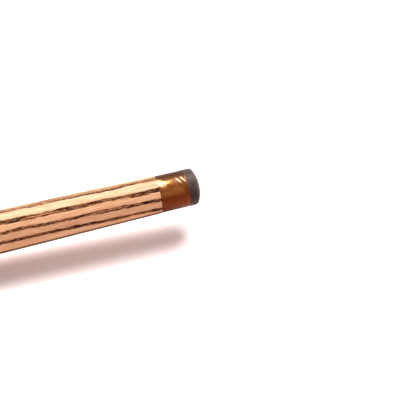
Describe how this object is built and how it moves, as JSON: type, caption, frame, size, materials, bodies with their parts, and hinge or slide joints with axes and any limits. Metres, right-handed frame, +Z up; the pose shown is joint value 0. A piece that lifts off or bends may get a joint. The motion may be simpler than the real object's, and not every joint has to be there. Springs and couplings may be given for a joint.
{
  "type": "clutch lead holder",
  "caption": "Wooden-barrelled clutch lead holder with a smooth brass nose ferrule, a dark domed clutch head flush around the lead, and a sprung push button at the rear.",
  "frame": {"origin": "middle of the holder's length, below its axis, on the surface that the barrel rests on", "axes": "+X along the holder's axis towards the writing tip, +Z up; the axis is 4.7 mm above the origin"},
  "size_m": [0.146, 0.0094, 0.0094],
  "materials": {
    "barrel_wood": "satin",
    "ferrule_brass": "polished",
    "inner_brass": "satin",
    "clutch_head": "satin",
    "blackened_steel": "satin",
    "hardened_steel": "satin",
    "spring_steel": "satin",
    "graphite_lead": "satin"
  },
  "bodies": {
    "casing": {"barrel": "barrel_wood", "liner_tube": "inner_brass", "nose_ferrule": "ferrule_brass", "clutch_seat": "hardened_steel", "rear_ferrule": "ferrule_brass", "rear_bush": "inner_brass", "spring_stop": "inner_brass"},
    "spring_pack": {"front_washer": "hardened_steel", "return_spring": "spring_steel"},
    "pusher": {"button": "ferrule_brass", "button_plug": "blackened_steel", "push_tube": "inner_brass", "clutch_root": "blackened_steel", "spring_collar": "inner_brass", "collar_clip": "spring_steel", "rear_washer": "hardened_steel"},
    "jaw_1": {"clutch_jaw_1": "clutch_head"},
    "jaw_2": {"clutch_jaw_2": "clutch_head"},
    "jaw_3": {"clutch_jaw_3": "clutch_head"},
    "lead": {"lead": "graphite_lead"}
  },
  "joints": [
    {"name": "button_turn", "type": "hinge", "parent": "casing", "child": "spring_pack", "pos_m": [0.046, 0, 0.0047], "axis": [1, 0, 0], "continuous": true},
    {"name": "button_press", "type": "slide", "parent": "spring_pack", "child": "pusher", "axis": [1, 0, 0], "range_m": [0, 0.0032], "stiffness_N_per_m": 800, "springref_m": -0.004, "deforming": ["return_spring"]},
    {"name": "jaw_1_flex", "type": "hinge", "parent": "pusher", "child": "jaw_1", "pos_m": [0.056, -0.00047, 0.00644], "axis": [0, -0.9659, -0.2588], "range_deg": [0, 3.4]},
    {"name": "jaw_2_flex", "type": "hinge", "parent": "pusher", "child": "jaw_2", "pos_m": [0.056, -0.00127, 0.00343], "axis": [0, 0.7071, -0.7071], "range_deg": [0, 3.4]},
    {"name": "jaw_3_flex", "type": "hinge", "parent": "pusher", "child": "jaw_3", "pos_m": [0.056, 0.00174, 0.00423], "axis": [0, 0.2588, 0.9659], "range_deg": [0, 3.4]},
    {"name": "lead_feed", "type": "slide", "parent": "pusher", "child": "lead", "axis": [1, 0, 0], "range_m": [-0.045, 0.06]}
  ],
  "couplings": [
    {"joint": "jaw_1_flex", "follows": "button_press", "rad_per_m": 18.5},
    {"joint": "jaw_2_flex", "follows": "button_press", "rad_per_m": 18.5},
    {"joint": "jaw_3_flex", "follows": "button_press", "rad_per_m": 18.5}
  ]
}
